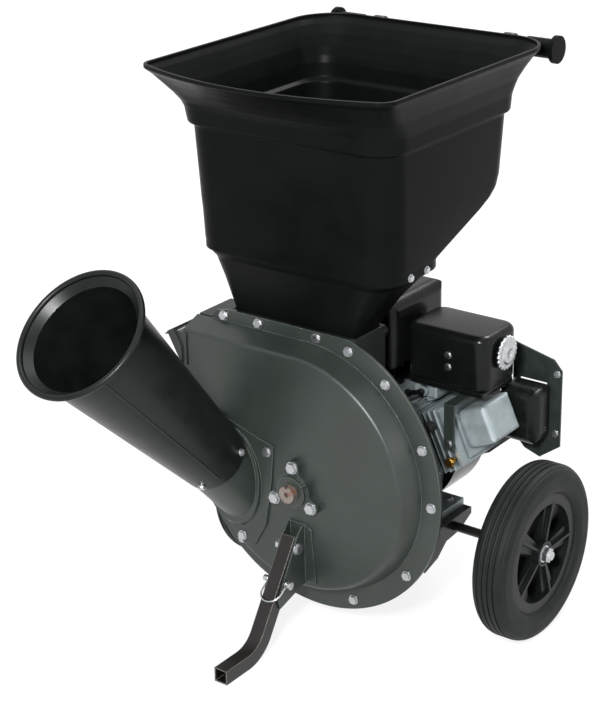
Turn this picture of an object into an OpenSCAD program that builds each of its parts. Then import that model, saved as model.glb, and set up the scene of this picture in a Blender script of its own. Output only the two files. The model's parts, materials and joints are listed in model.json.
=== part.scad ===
// Leaf shredder: scroll housing with a chipper cone, hopper, engine, wheels and prop stand.
// The front cover faces -Y, the engine stands at +Y, +X is the cylinder side and Z is up. Millimetres.

/* [Housing] */
// Crank axis, sideways from the middle plane
crank_x = -5; // [-15:1:5]
// Crank axis above the ground
crank_z = 265; // [255:1:275]
// Lower scroll radius on the cover face
scroll_r = 200; // [196:1:206]
// Upper scroll radius on the cover face
upper_r = 213; // [208:1:218]
// Scroll centre above the ground
scroll_z = 285; // [280:1:288]
// Depth of the drawn cover in front of the flange
cover_depth = 40; // [37:1:46]
// Outward draft of the cover wall over that depth
cover_draft = 16; // [13:1:18]
// Rounding of the cover edge
edge_r = 8; // [4:0.5:12]
// Width of the bolted flange
flange_w = 36; // [32:1:40]
// Flange top, where the hopper funnel enters
seat_z = 535; // [533:1:538]
// Depth of the rear housing behind the flange plane
housing_depth = 90; // [88:1:92]
// Sheet thickness of the housing
sheet = 2.5; // [2:0.25:3]

/* [Chipper chute] */
// Foot of the chute axis, sideways
chute_x = -139; // [-144:1:-135]
// Foot of the chute axis above the ground
chute_z = 250; // [240:1:258]
// Rise of the chute axis above level
chute_rise = 48; // [44:1:52]
// Turn of the chute axis to the left
chute_turn = 4; // [0:1:8]
// Outer radius of the socket tube
socket_r = 56; // [52:0.5:58]
// Distance along the axis to the middle of the mouth lip
lip_at = 487; // [440:1:520]
// Radius of the lip ring
lip_ring_r = 109; // [100:1:120]
// Radius of the lip bead
lip_r = 5; // [4:0.5:7]

/* [Rotor] */
// Drive shaft radius
shaft_r = 15; // [13:0.5:16]
// Chipper disc radius
disc_r = 165; // [150:1:168]
// Radius of the hammer pin circle
pin_ring_r = 118; // [110:1:122]
// Hammer reach from its pin
hammer_reach = 44; // [36:1:48]

/* [Stand] */
// Side of the square leg tube
leg_side = 25.4; // [22:0.2:28]
// Lean of the leg from upright
leg_lean = 33; // [31:1:35]
// Bend of the leg, forward of the flange
leg_bend_y = -165; // [-170:1:-160]
// Front end of the foot
foot_y = -255; // [-275:1:-240]

/* [Hopper] */
// Rim height
rim_z = 970; // [950:1:990]
// Half width of the rim
rim_half = 236; // [228:1:246]
// Front of the rim
rim_front = -168; // [-180:1:-156]
// Back of the rim
rim_back = 363; // [350:1:366]
// Wall of the hopper
hopper_wall = 5; // [4:0.5:6]
// Handle tube radius
handle_r = 12.7; // [11:0.1:13.5]
// Handle axis behind the rim
handle_back = 25; // [23:1:33]
// Handle axis below the rim
handle_drop = 22; // [18:1:26]

/* [Wheels] */
// Tyre radius
tyre_r = 152.4; // [150:0.2:156]
// Tyre width
tyre_w = 62; // [56:1:66]
// Outer face of the tyre from the middle plane
tyre_out = 350; // [343:1:358]
// Outer face of the left tyre from the middle plane
left_out = 252; // [248:1:258]
// Axle behind the flange plane
axle_y = 180; // [175:1:185]
// Axle radius
axle_r = 8; // [7:0.5:8.5]

/* [Engine] */
// Cylinder tilt above level
cyl_tilt = 25; // [23:1:27]
// Engine base above the ground
base_z = 166; // [164.5:0.5:170]
// Distance from crank to the cylinder joint
deck = 88; // [86:1:92]
// Number of cylinder fins
fin_count = 8; // [6:1:8]

/* [Clearances] */
// Gap between separate bodies
gap = 0.3; // [0.3:0.05:0.5]
// Radial running clearance
run = 0.05; // [0.03:0.01:0.1]
// Radial clearance of a bolt in its hole
hole = 0.3; // [0.3:0.05:0.5]

/* [Hidden] */
$fn = 64;
flange_t = 3;
rear_r = disc_r + 17;
handle_y = rim_back + handle_back;
handle_z = rim_z - handle_drop;
up_x = scroll_r - upper_r;
duct_x = -240;
duct_half = 72;
duct_z = scroll_z + upper_r - duct_half - 0.3;
duct_low = 437;
face_y = -cover_depth;
back_y = housing_depth;
throat_left = -172;
throat_right = 84;
bolt_ring = cover_draft + 0.5 * flange_w + 1;
engine_y = back_y + 4;
wheel_in = tyre_out - tyre_w;
axle_z = tyre_r;
nut_end = tyre_out + 8;
wheel_shift = left_out - tyre_out;
cap_r = 23;
axis_flat = cos(chute_rise) * cos(chute_turn);
mouth_y = face_y - axis_flat * lip_at - lip_ring_r * sqrt(1 - axis_flat * axis_flat) - lip_r;
rear_y = handle_y + cap_r;
mid_y = (mouth_y + rear_y) / 2;
leg_top_z = crank_z - 83;
leg_x = crank_x;

steel_paint = [0.29, 0.32, 0.30];
black_paint = [0.10, 0.10, 0.11];
plastic = [0.08, 0.08, 0.09];
rubber = [0.13, 0.13, 0.13];
cast = [0.60, 0.63, 0.64];
zinc = [0.75, 0.76, 0.78];
bare = [0.45, 0.38, 0.33];
brass = [0.72, 0.55, 0.25];

// Moves the machine so that the origin is under the middle of its outline.
module placed() {
  translate([-mid_x, -mid_y, 0]) children();
}

// A profile in X and Z, extruded from one depth to another.
module slab(y0, y1) {
  translate([0, y1, 0]) rotate([90, 0, 0]) linear_extrude(y1 - y0) children();
}

// A profile in Y and Z, extruded from one side to another.
module wall(x0, x1) {
  translate([x0, 0, 0]) rotate([90, 0, 90]) linear_extrude(x1 - x0) children();
}

module bar_x(x0, x1, y, z, r) {
  translate([x0, y, z]) rotate([0, 90, 0]) cylinder(h = x1 - x0, r = r);
}

module bar_y(y0, y1, x, z, r) {
  translate([x, y0, z]) rotate([-90, 0, 0]) cylinder(h = y1 - y0, r = r);
}

module box(a, b) {
  translate(a) cube(b - a);
}

module round_square(w, h, r) {
  translate([r, 0]) square([w - 2 * r, h]);
  translate([0, r]) square([w, h - 2 * r]);
  for (x = [r, w - r], y = [r, h - r]) translate([x, y]) circle(r = r);
}

// A box whose twelve edges are rounded by three crossed prisms.
module round_box(a, b, r) {
  s = b - a;
  translate(a) intersection() {
    linear_extrude(s[2]) round_square(s[0], s[1], r);
    translate([0, s[1], 0]) rotate([90, 0, 0]) linear_extrude(s[1]) round_square(s[0], s[2], r);
    rotate([90, 0, 90]) linear_extrude(s[0]) round_square(s[1], s[2], r);
  }
}

// A hex-headed bolt pointing up: head above the seat, shank below it.
module bolt(r, grip) {
  cylinder(h = 1.3 * r, r = 1.9 * r, $fn = 6);
  cylinder(h = 0.4 * r, r = 2.2 * r);
  translate([0, 0, -grip]) cylinder(h = grip + 0.1, r = r);
}

module bolt_front(x, y, z, r, grip) {
  translate([x, y, z]) rotate([90, 0, 0]) bolt(r, grip);
}

// Section of the drawn cover wall, with its rounded edge.
module drum_profile(r, depth, low, edge) {
  k = cover_draft / cover_depth;
  s = sqrt(1 + k * k);
  cr = r + edge * k - edge * s;
  ch = depth - edge;
  foot = r + (depth + low) * k;
  polygon([[0, -low], [foot, -low], [cr + edge / s, ch + edge * k / s], [cr, depth], [0, depth]]);
  translate([cr, ch]) circle(r = edge);
}

// The drawn scroll, seen from the front with its depth along Z.
module scroll_solid(inset, low, left) {
  k = cover_draft / cover_depth;
  cut = inset * (k - sqrt(1 + k * k));
  depth = cover_depth - inset;
  edge = edge_r - inset;
  translate([up_x, scroll_z, 0]) rotate_extrude(angle = 90)
    drum_profile(upper_r + cut, depth, low, edge);
  translate([0, scroll_z, 0]) rotate([0, 0, 90]) rotate_extrude(angle = 270)
    drum_profile(scroll_r + cut, depth, low, edge);
  translate([left, duct_z, 0]) rotate([90, 0, 90]) linear_extrude(up_x - left) {
    drum_profile(duct_half + cut, depth, low, edge);
    mirror([1, 0]) drum_profile(duct_half + cut, depth, low, edge);
  }
}

// Outline of the scroll in X and Z, grown by a distance.
module scroll_outline(grow, left) {
  difference() {
    translate([0, scroll_z]) circle(r = scroll_r + grow);
    translate([0, scroll_z]) square(500);
  }
  intersection() {
    translate([up_x, scroll_z]) circle(r = upper_r + grow);
    translate([up_x, scroll_z]) square(500);
  }
  translate([left, duct_z - duct_half - grow]) square([up_x - left, 2 * (duct_half + grow)]);
}

// Outline of the bolted flange, flat under the hopper and open at the discharge.
module flange_outline() {
  intersection() {
    scroll_outline(cover_draft + flange_w, duct_x - 40);
    polygon([[-400, 0], [400, 0], [400, seat_z], [-172, seat_z], [-198, seat_z - 5], [-206, seat_z - 14],
      [-214, 500], [-226, 480], [-226, 300], [-400, 300]]);
  }
}

function ring_bolt(a) = let (up = cos(a) > 0, r = bolt_ring + (up ? upper_r : scroll_r))
  [(up ? up_x : 0) + r * sin(a), scroll_z + r * cos(a)];
flange_bolts = concat([for (a = [40, 68, 91, 127, 160, 192, 222, 252]) ring_bolt(a)],
  [[-182, seat_z - 12], [-109, seat_z - 11], [10, seat_z - 11], [74, seat_z - 20]]);
socket_bolts = [[-64, 318], [-121, 146], [-172, 350]];
bearing_angles = [90, 210, 330];

module at_front(p) {
  translate([p[0], 0, p[1]]) rotate([90, 0, 0]) children();
}

module chute_frame() {
  translate([chute_x, face_y, chute_z]) rotate([90 - chute_rise, 0, -chute_turn]) children();
}

// Outline of the rear half: a drum round the rotor with the full duct beside it.
module rear_outline(inset) {
  translate([crank_x, crank_z]) circle(r = rear_r - inset);
  translate([duct_x + inset, duct_z - duct_half - cover_draft + inset])
    square([up_x - duct_x - 2 * inset, 2 * (duct_half + cover_draft - inset)]);
}

module housing_back() {
  color(black_paint) placed() difference() {
    union() {
      slab(flange_t, 2 * flange_t) difference() {
        flange_outline();
        rear_outline(sheet);
      }
      slab(2 * flange_t - 0.5, back_y - sheet) difference() {
        rear_outline(0);
        rear_outline(sheet);
      }
      slab(back_y - flange_t, back_y) rear_outline(0);
      difference() {
        box([throat_left, 2 * flange_t - 0.5, 400], [throat_right, back_y, seat_z]);
        box([throat_left + 3, 3 * flange_t, 390], [throat_right - 3, back_y - 2 * flange_t, seat_z + 1]);
        slab(0, back_y - flange_t) rear_outline(sheet);
      }
    }
    box([throat_left + 12, 14, 400], [throat_right - 14, back_y - 10, seat_z + 1]);
    box([duct_x - 10, 0, duct_low], [duct_x + 10, hood_back - 6, hood_top - 6]);
    bar_y(back_y - 10, back_y + 10, crank_x, crank_z, 40);
    for (p = flange_bolts) bar_y(0, 10, p[0], p[1], 4 + hole);
  }
}

module front_cover() {
  color(steel_paint) placed() difference() {
    union() {
      rotate([90, 0, 0]) scroll_solid(0, 0, duct_x);
      slab(0, flange_t) flange_outline();
    }
    rotate([90, 0, 0]) scroll_solid(sheet, flange_t + 1, duct_x + sheet);
    box([duct_x - 10, face_y + sheet, duct_low], [duct_x + 10, 10, hood_top - 6]);
    bar_y(face_y - 5, face_y + 10, crank_x, crank_z, shaft_r + 4);
    chute_frame() translate([0, 0, -90]) cylinder(h = 150, r = socket_r - 12);
    for (p = flange_bolts) bar_y(-5, 10, p[0], p[1], 4 + hole);
    for (p = socket_bolts) bar_y(face_y - 5, face_y + 10, p[0], p[1], 4 + hole);
    for (a = bearing_angles)
      bar_y(face_y - 5, face_y + 10, crank_x + 43 * cos(a), crank_z + 43 * sin(a), 5 + hole);
  }
}

module case_bolts() {
  color(zinc) placed() {
    for (p = flange_bolts) bolt_front(p[0], 0, p[1], 4, 8.5);
    for (p = socket_bolts) bolt_front(p[0], face_y - 4, p[1], 4, 7);
  }
}

hood_top = 494;
hood_mouth = [-269, 487];
hood_tilt = 29;
hood_back = 52;
mouth_len = 56;
mouth_low = hood_mouth + mouth_len * [sin(hood_tilt), -cos(hood_tilt)];
lip_out = 9;
mid_x = (nut_end + hood_mouth[0] - lip_out * cos(hood_tilt) - 2 * sin(hood_tilt)) / 2;

// Frame of the slanted mouth: X into the hood, Z up along the mouth.
module mouth_frame() {
  translate([hood_mouth[0], 0, hood_mouth[1]]) rotate([0, -hood_tilt, 0]) children();
}

module discharge_hood() {
  front = face_y - gap - sheet;
  rear = hood_back;
  right = duct_x - gap;
  under = hood_top - sheet;
  color(steel_paint) placed() difference() {
    union() {
      intersection() {
        union() {
          slab(front, rear)
            polygon([[right, hood_top], [-259, hood_top], hood_mouth + [0, 2], mouth_low, [right, mouth_low[1]]]);
          mouth_frame() box([0, front - 3, -mouth_len - 1], [16, rear + 3, 4]);
          mouth_frame() box([-lip_out, front, -1], [2, rear, 2]);
        }
        box([-400, -200, 0], [right, 200, 700]);
      }
      box([right - 1, front + 0.1, duct_low - 2], [duct_x + 8, front + sheet - 0.2, hood_top - 0.1]);
    }
    mouth_frame() box([-30, front + sheet + 0.1, -mouth_len + sheet], [20, rear - sheet - 0.1, -sheet]);
    slab(front + sheet, rear - sheet)
      polygon([[right + 1, under], [-256, under], hood_mouth + [6, -2], [right + 1, mouth_low[1] + 4]]);
  }
}

module bearing_flange() {
  color(steel_paint) placed() difference() {
    union() {
      slab(face_y - 12, face_y) translate([crank_x, crank_z]) {
        circle(r = 33);
        for (a = bearing_angles) rotate(a) {
          translate([0, -12]) square([43, 24]);
          translate([43, 0]) circle(r = 12);
        }
      }
      bar_y(face_y - 19, face_y - 11, crank_x, crank_z, 28);
      translate([crank_x, face_y - 15, crank_z]) rotate([0, 54, 0]) cylinder(h = 36, r = 3);
    }
    bar_y(face_y - 25, face_y + 5, crank_x, crank_z, shaft_r + run);
    for (a = bearing_angles)
      bar_y(face_y - 20, face_y + 5, crank_x + 43 * cos(a), crank_z + 43 * sin(a), 5 + hole);
  }
}

module bearing_bolts() {
  color(zinc) placed() for (a = bearing_angles)
    bolt_front(crank_x + 43 * cos(a), face_y - 12, crank_z + 43 * sin(a), 5, 15);
}

screw_at = 86;
chute_screw_turns = [20, 200, 290];

module chute_screw_holes() {
  for (a = chute_screw_turns) rotate([0, 0, a]) translate([0, 0, screw_at]) rotate([0, 90, 0])
    cylinder(h = 90, r = 3 + hole);
}

module chute_socket() {
  color(steel_paint) placed() difference() {
    union() {
      slab(face_y - 4, face_y) polygon([[-50, 330], [-56, 262], [-70, 180], [-96, 134], [-119, 132],
        [-144, 155], [-164, 182], [-180, 214], [-187, 330], [-178, 360], [-160, 364], [-80, 338],
        [-62, 336]]);
      intersection() {
        chute_frame() translate([0, 0, -120]) cylinder(h = 120 + cone_start - gap, r = socket_r + 6);
        box([-188, face_y - 11, 0], [400, face_y - 2, 600]);
      }
      intersection() {
        chute_frame() translate([0, 0, -120]) cylinder(h = 120 + 110, r = socket_r);
        box([-400, face_y - 200, 0], [400, face_y - 2, 600]);
      }
    }
    chute_frame() translate([0, 0, -150]) cylinder(h = 300, r = socket_r - 3);
    chute_frame() chute_screw_holes();
    for (p = socket_bolts) bar_y(face_y - 20, face_y + 5, p[0], p[1], 4 + hole);
  }
}

cone_start = 73;
cone_end = 474;
cone_t = 2.6;
cone_r0 = socket_r + gap + cone_t;
cone_r1 = 94.7;

module chipper_chute() {
  color(plastic) placed() chute_frame() difference() {
    rotate_extrude() {
      polygon([[cone_r0 - cone_t, cone_start], [cone_r0, cone_start], [cone_r1, cone_end],
        [lip_ring_r, lip_at - 3], [lip_ring_r, lip_at + 2], [cone_r1 + 3, cone_end + 5],
        [cone_r1 - cone_t, cone_end]]);
      translate([lip_ring_r, lip_at]) circle(r = lip_r);
    }
    chute_screw_holes();
  }
}

module chute_screws() {
  seat = cone_r0 + (screw_at + 7 - cone_start) * (cone_r1 - cone_r0) / (cone_end - cone_start);
  color(zinc) placed() chute_frame() for (a = chute_screw_turns)
    rotate([0, 0, a]) translate([seat, 0, screw_at]) rotate([0, 90, 0]) bolt(3, 8);
}

// Leg axes: a point at a height on the leg's centre line.
function leg_at(z) = leg_bend_y + (z - leg_side / 2) * tan(leg_lean);

module stand_bracket() {
  half = leg_side / 2 + gap;
  color(steel_paint) placed() difference() {
    union() {
      slab(face_y - 3, face_y) translate([leg_x, 0])
        polygon([[-34, 98], [38, 98], [30, 196], [16, 205], [-16, 205], [-30, 190]]);
      for (s = [-1, 1]) translate([s * (half + 1.5), 0, 0]) wall(leg_x - 1.5, leg_x + 1.5)
        polygon([[face_y - 1, 203], [face_y - 1, 96], [leg_at(80) + 8, 76], [leg_at(92) - 5, 92],
          [leg_at(leg_top_z) - 8, leg_top_z + 8], [face_y - 9, 203]]);
    }
    bar_x(leg_x - 40, leg_x + 40, leg_at(168), 168, 5 + hole);
    bar_x(leg_x - 40, leg_x + 40, leg_at(116), 116, 4 + hole);
  }
}

leg_bend_r = 60;
leg_len = (leg_top_z - leg_side / 2) / cos(leg_lean);

// A square bar along the leg's path: foot, bend and lean.
module leg_path(side, foot_from, top) {
  h = side / 2;
  turn = 90 - leg_lean;
  cut = leg_bend_r * tan(turn / 2);
  translate([leg_x, 0, leg_side / 2]) {
    box([-h, foot_from, -h], [h, leg_bend_y - cut + 1, h]);
    translate([0, leg_bend_y - cut, leg_bend_r]) rotate([0, 90, 0]) rotate_extrude(angle = turn)
      translate([leg_bend_r, 0]) square(side + 0.06, center = true);
    translate([0, leg_bend_y, 0]) rotate([-leg_lean, 0, 0]) box([-h, -h, cut - 1], [h, h, top]);
  }
}

module stand_leg() {
  color(black_paint) placed() difference() {
    leg_path(leg_side, foot_y, leg_len);
    leg_path(leg_side - 4, foot_y - 1, leg_len + 1);
    bar_x(leg_x - 40, leg_x + 40, leg_at(168), 168, 5 + hole);
    bar_x(leg_x - 40, leg_x + 40, leg_at(116), 116, 4 + hole);
  }
}

module pivot_bolt() {
  out = leg_side / 2 + gap + 3;
  color(zinc) placed() translate([leg_x + out, leg_at(168), 168]) rotate([0, 90, 0]) {
    bolt(5, 2 * out + 8);
    translate([0, 0, -2 * out - 8]) cylinder(h = 8, r = 9, $fn = 6);
  }
}

bail_x = leg_side / 2 + gap + 3 + 3;

module lock_pin() {
  color(zinc) placed() {
    bar_x(leg_x - bail_x - 6, leg_x + bail_x + 6, leg_at(116), 116, 4);
    bar_x(leg_x + bail_x + 4, leg_x + bail_x + 9, leg_at(116), 116, 7);
    bar_x(leg_x - bail_x - 9, leg_x - bail_x - 4, leg_at(116), 116, 5);
  }
}

// Wire bail: two eyes on the lock pin, joined by a half ring across the front of the leg.
module pin_bail() {
  reach = 36;
  out = leg_side / 2 + 4;
  turn = atan(out / reach);
  straight = sqrt(reach * reach + out * out) - bail_x;
  color(zinc) placed() translate([leg_x, leg_at(116), 116]) rotate([-leg_lean - turn, 0, 0]) {
    for (s = [-1, 1]) difference() {
      union() {
        translate([s * bail_x - 1.6, 0, 0]) rotate([0, 90, 0]) cylinder(h = 3.2, r = 7);
        translate([s * bail_x, 0, -straight]) cylinder(h = straight - 5, r = 1.6);
      }
      translate([s * bail_x - 5, 0, 0]) rotate([0, 90, 0]) cylinder(h = 10, r = 4 + 2 * run);
    }
    translate([0, 0, -straight]) rotate([-90, 0, 0]) rotate_extrude(angle = 180)
      translate([bail_x, 0]) circle(r = 1.6);
  }
}

front_steps = 8;

// One rounded-rectangle ring of a lofted shell. The front bows out by a depth and has its own corner radius.
function loft_ring(z, xl, xr, yf, yb, r, n, bow = 0, rf = 0) = let (
    c = rf > 0 ? rf : r,
    half = (xr - xl) / 2,
    lean = atan(2 * bow * (half - c) / (half * half)),
    reach = half - c + c * sin(lean),
    yc = yf + bow * pow(reach / half, 2) + c * cos(lean))
  [for (i = [0:n]) [xr - r + r * cos(90 * i / n), yb - r + r * sin(90 * i / n), z],
    for (i = [0:n]) [xl + r - r * sin(90 * i / n), yb - r + r * cos(90 * i / n), z],
    for (i = [0:n]) let (a = 180 + (90 - lean) * i / n) [xl + c + c * cos(a), yc + c * sin(a), z],
    for (i = [1:front_steps - 1]) let (x = reach * (2 * i / front_steps - 1))
      [(xl + xr) / 2 + x, yf + bow * pow(x / half, 2), z],
    for (i = [0:n]) let (a = 270 + lean + (90 - lean) * i / n) [xr - c + c * cos(a), yc + c * sin(a), z]];

// A closed shell through rings that run up the outside and down the inside.
module loft(rings) {
  m = len(rings);
  n = len(rings[0]);
  faces = [for (i = [0:m - 1], j = [0:n - 1], k = [0, 1])
    let (a = i * n, b = ((i + 1) % m) * n, q = (j + 1) % n)
      k == 0 ? [a + j, b + j, b + q] : [a + j, b + q, a + q]];
  polyhedron([for (g = rings, p = g) p], faces, convexity = 6);
}

collar_half = rim_half - 43;
collar_front = -55;
collar_back = 105;
collar_z = 658;

// Height of a share of the hopper's depth, from its collar to its rim.
function up(share) = collar_z + share * (rim_z - collar_z);

// Hopper sections from the collar to the rim: height, half width, front, back, corner,
// inner lift, inner back inset, front bow, front corner.
hopper_rings = [
  [up(0), collar_half, collar_front, collar_back, 46, 0, 5, 0, 46],
  [up(0.045), collar_half, collar_front, collar_back, 46, 2, 5, 0, 46],
  [up(0.058), collar_half + 0.5, collar_front - 0.5, 112, 46, 4.7, 2, 0, 46],
  [up(0.205), collar_half + 2, -58, 236, 48, 4.7, 2, 0, 48],
  [up(0.244), collar_half + 2.5, -59, 262, 48, 4, 3, 0, 48],
  [up(0.288), collar_half + 3, -60, 279, 48, 3, 4, 0, 48],
  [up(0.353), collar_half + 3.5, -61, 287, 48, 1, 5, 0, 48],
  [up(0.667), collar_half + 6, -67, 296, 48, 0, 5, 0, 48],
  [up(0.683), collar_half + 14, -76, 304, 52, 0, 5, 0, 52],
  [up(0.763), collar_half + 16, -80, 306, 54, 0, 5, 0, 52],
  [up(0.801), collar_half + 19, -86, 310, 56, 0, 5, 3, 50],
  [up(0.85), rim_half - 20, rim_front + 65, rim_back - 43, 62, 0, 5, 12, 46],
  [up(0.904), rim_half - 13, rim_front + 42, rim_back - 28, 68, 0, 5, 25, 40],
  [up(0.952), rim_half - 6, rim_front + 18, rim_back - 12, 73, 0, 5, 40, 35],
  [up(0.981), rim_half, rim_front, rim_back, 78, 0, 5, 50, 30],
  [up(1), rim_half, rim_front, rim_back, 78, 0, 5, 50, 30]];

corner_steps = 12;

module hopper() {
  t = hopper_wall;
  c = len(hopper_rings);
  outer = [for (h = hopper_rings) loft_ring(h[0], -h[1], h[1], h[2], h[3], h[4], corner_steps, h[7], h[8])];
  inner = [for (i = [c - 1:-1:0]) let (h = hopper_rings[i])
    loft_ring(h[0] + h[5], t - h[1], h[1] - t, h[2] + t, h[3] - h[6], h[4] - t + 1, corner_steps,
      h[7], h[8] - t + 1)];
  color(plastic) placed() difference() {
    loft(concat(outer, inner));
    for (p = throat_points) bar_x(-300, 300, p[1], p[2], 3 + hole, $fn = 16);
  }
}

throat_points = [[0, 0, 664], [0, 45, 664]];

// Funnel sections from the housing up: height, left, right, front, back, corner.
throat_rings = [
  [scroll_z + upper_r + cover_draft + gap, throat_left + 3.5, throat_right - 3.5, 9.5, back_y - 6.5, 12],
  [seat_z + 2, throat_left + 3.5, throat_right - 3.5, 9.5, back_y - 6.5, 12],
  [560, -171, 98, -1, 86, 18],
  [600, -176, 130, -18, 91, 28],
  [640, -183, 168, -36, 96, 38],
  [655, 5.4 - collar_half, collar_half - 5.4, collar_front + 5.4, collar_back - 5.4, 42],
  [676, 5.4 - collar_half, collar_half - 5.4, collar_front + 5.4, collar_back - 5.4, 42]];

module hopper_throat() {
  t = 3;
  c = len(throat_rings);
  outer = [for (h = throat_rings) loft_ring(h[0], h[1], h[2], h[3], h[4], h[5], corner_steps)];
  inner = [for (i = [c - 1:-1:0]) let (h = throat_rings[i])
    loft_ring(h[0], h[1] + t, h[2] - t, h[3] + t, h[4] - t, h[5] - t + 1, corner_steps)];
  color(plastic) placed() difference() {
    loft(concat(outer, inner));
    for (p = throat_points) bar_x(-300, 300, p[1], p[2], 3 + hole, $fn = 16);
  }
}

module throat_screws() {
  color(zinc) placed() for (s = [-1, 1], p = throat_points)
    translate([s * collar_half, p[1], p[2]]) rotate([0, s * 90, 0]) bolt(3, 12);
}

module handle_tube() {
  color(black_paint) placed() difference() {
    bar_x(-215, 215, handle_y, handle_z, handle_r);
    bar_x(-220, 220, handle_y, handle_z, handle_r - 2);
  }
}

module handle_caps() {
  color(plastic) placed() for (s = [0, 1]) mirror([s, 0, 0]) difference() {
    union() {
      bar_x(165, 222, handle_y, handle_z, handle_r + 3.5);
      bar_x(215.2, 223, handle_y, handle_z, cap_r);
    }
    bar_x(160, 215.2, handle_y, handle_z, handle_r + run);
  }
}

module handle_brackets() {
  belt = hopper_rings[9][3];
  color(black_paint) placed() for (s = [-1, 1]) difference() {
    union() {
      wall(s * 130 - 9, s * 130 + 9) polygon([[belt + gap, up(0.692)], [belt + gap, up(0.753)],
        [handle_y - 12, handle_z + 2], [handle_y - 2, handle_z - 16]]);
      bar_x(s * 130 - 9, s * 130 + 9, handle_y, handle_z, handle_r + 5);
    }
    bar_x(s * 130 - 20, s * 130 + 20, handle_y, handle_z, handle_r + run);
  }
}

module base_frame() {
  out = 165;
  color(black_paint) placed() difference() {
    union() {
      box([-out, back_y, base_z - 4], [out, 236, base_z]);
      box([-150, back_y, 100], [150, back_y + 3, base_z - 1]);
      for (s = [-1, 1]) wall(s * (out - 1.5) - 1.5, s * (out - 1.5) + 1.5)
        polygon([[back_y, base_z - 1], [236, base_z - 1], [236, base_z - 12], [axle_y + 20, axle_z - 16],
          [axle_y - 24, axle_z - 20], [back_y + 40, 112], [back_y, 100]]);
    }
    bar_x(-200, 200, axle_y, axle_z, axle_r + run);
    for (p = engine_feet) translate([p[0], p[1], base_z - 10]) cylinder(h = 20, r = 4 + hole);
  }
}

engine_feet = [[-132, 128], [-132, 214], [132, 128], [132, 214]];

module axle() {
  color(black_paint) placed() {
    bar_x(-left_out - 2, tyre_out + 2, axle_y, axle_z, axle_r);
    for (x = [wheel_in - 8, 8 - wheel_in - wheel_shift]) bar_x(x - 4, x + 4, axle_y, axle_z, axle_r + 6);
  }
}

// Tyre section in radius and width, with four tread grooves.
module tyre_section() {
  inner = tyre_r - 53;
  difference() {
    translate([inner, 0]) round_square(53, tyre_w, 19);
    for (i = [0:3]) translate([tyre_r - 2.5, tyre_w / 2 + (i - 1.5) * 10 - 1.2]) square([10, 2.4]);
    translate([inner - 10, 9]) square([10 + gap, tyre_w]);
    translate([inner - 1, 8]) square([7, tyre_w - 16]);
  }
}

module tyre() {
  translate([wheel_in, axle_y, axle_z]) rotate([0, 90, 0]) rotate_extrude() tyre_section();
}

// Hub with five flared spokes inside a channelled rim.
module hub() {
  rim = tyre_r - 53 - gap;
  translate([wheel_in, axle_y, axle_z]) rotate([0, 90, 0]) difference() {
    union() {
      rotate_extrude() {
        translate([rim - 13, 8 + gap]) square([13, tyre_w - 16 - 2 * gap]);
        translate([rim - 8, 8 + gap]) square([14 - gap, tyre_w - 16 - 2 * gap]);
      }
      translate([0, 0, 20]) linear_extrude(tyre_w - 34) for (i = [0:4]) rotate(90 + 72 * i)
        polygon([[10, -8], [rim - 9, -19], [rim - 9, 19], [10, 8]]);
      translate([0, 0, 18]) linear_extrude(tyre_w - 26) for (i = [0:4]) rotate(90 + 72 * i)
        translate([10, -2.5]) square([rim - 20, 5]);
      translate([0, 0, 0]) cylinder(h = tyre_w - 6, r = 22);
    }
    translate([0, 0, -5]) cylinder(h = tyre_w + 10, r = axle_r + run);
    translate([0, 0, tyre_w - 10]) cylinder(h = 10, r = 17);
  }
}

module tyre_right() {
  color(rubber) placed() tyre();
}

module tyre_left() {
  color(rubber) placed() mirror([1, 0, 0]) translate([wheel_shift, 0, 0]) tyre();
}

module hub_right() {
  color(plastic) placed() hub();
}

module hub_left() {
  color(plastic) placed() mirror([1, 0, 0]) translate([wheel_shift, 0, 0]) hub();
}

module axle_nuts() {
  color(zinc) placed() for (s = [0, 1]) mirror([s, 0, 0]) translate([s * wheel_shift, 0, 0]) difference() {
    union() {
      translate([tyre_out - 9.5, axle_y, axle_z]) rotate([0, 90, 0]) cylinder(h = 3, r = 15);
      translate([tyre_out - 7, axle_y, axle_z]) rotate([0, 90, 0]) cylinder(h = 10, r = 13.5, $fn = 6);
      translate([tyre_out + 2, axle_y, axle_z]) rotate([0, 90, 0]) cylinder(h = 6, r1 = 11, r2 = 7);
    }
    bar_x(tyre_out - 20, tyre_out + 2 + gap, axle_y, axle_z, axle_r + run);
  }
}

// Frame of the tilted cylinder: X along its axis, Z across it, Y along the crank.
module tilted() {
  translate([crank_x, 0, crank_z]) rotate([0, -cyl_tilt, 0]) children();
}

case_top = crank_z + 107;
case_back = engine_y + 148;

module crankcase() {
  color(cast) placed() difference() {
    union() {
      slab(engine_y + 6, case_back) difference() {
        union() {
          translate([crank_x, crank_z]) circle(r = 98);
          polygon([[-104, base_z + 2], [100, base_z + 2], [112, 300], [60, case_top], [-84, case_top],
            [-114, 300]]);
        }
        translate([crank_x, crank_z]) rotate(cyl_tilt) translate([deck, -84]) square([300, 300]);
      }
      slab(engine_y + 14, case_back - 8) translate([-150, base_z]) square([300, 14]);
      bar_y(back_y, engine_y + 12, crank_x, crank_z, 82);
      bar_y(back_y - flange_t + 0.5, engine_y, crank_x, crank_z, 38);
      for (a = [20:45:340]) bar_y(engine_y, engine_y + 9, crank_x + 86 * cos(a), crank_z + 86 * sin(a), 9);
    }
    bar_y(0, engine_y + 70, crank_x, crank_z, shaft_r + run);
    for (p = engine_feet) translate([p[0], p[1], base_z - 5]) cylinder(h = 40, r = 4 + hole);
  }
}

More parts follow.
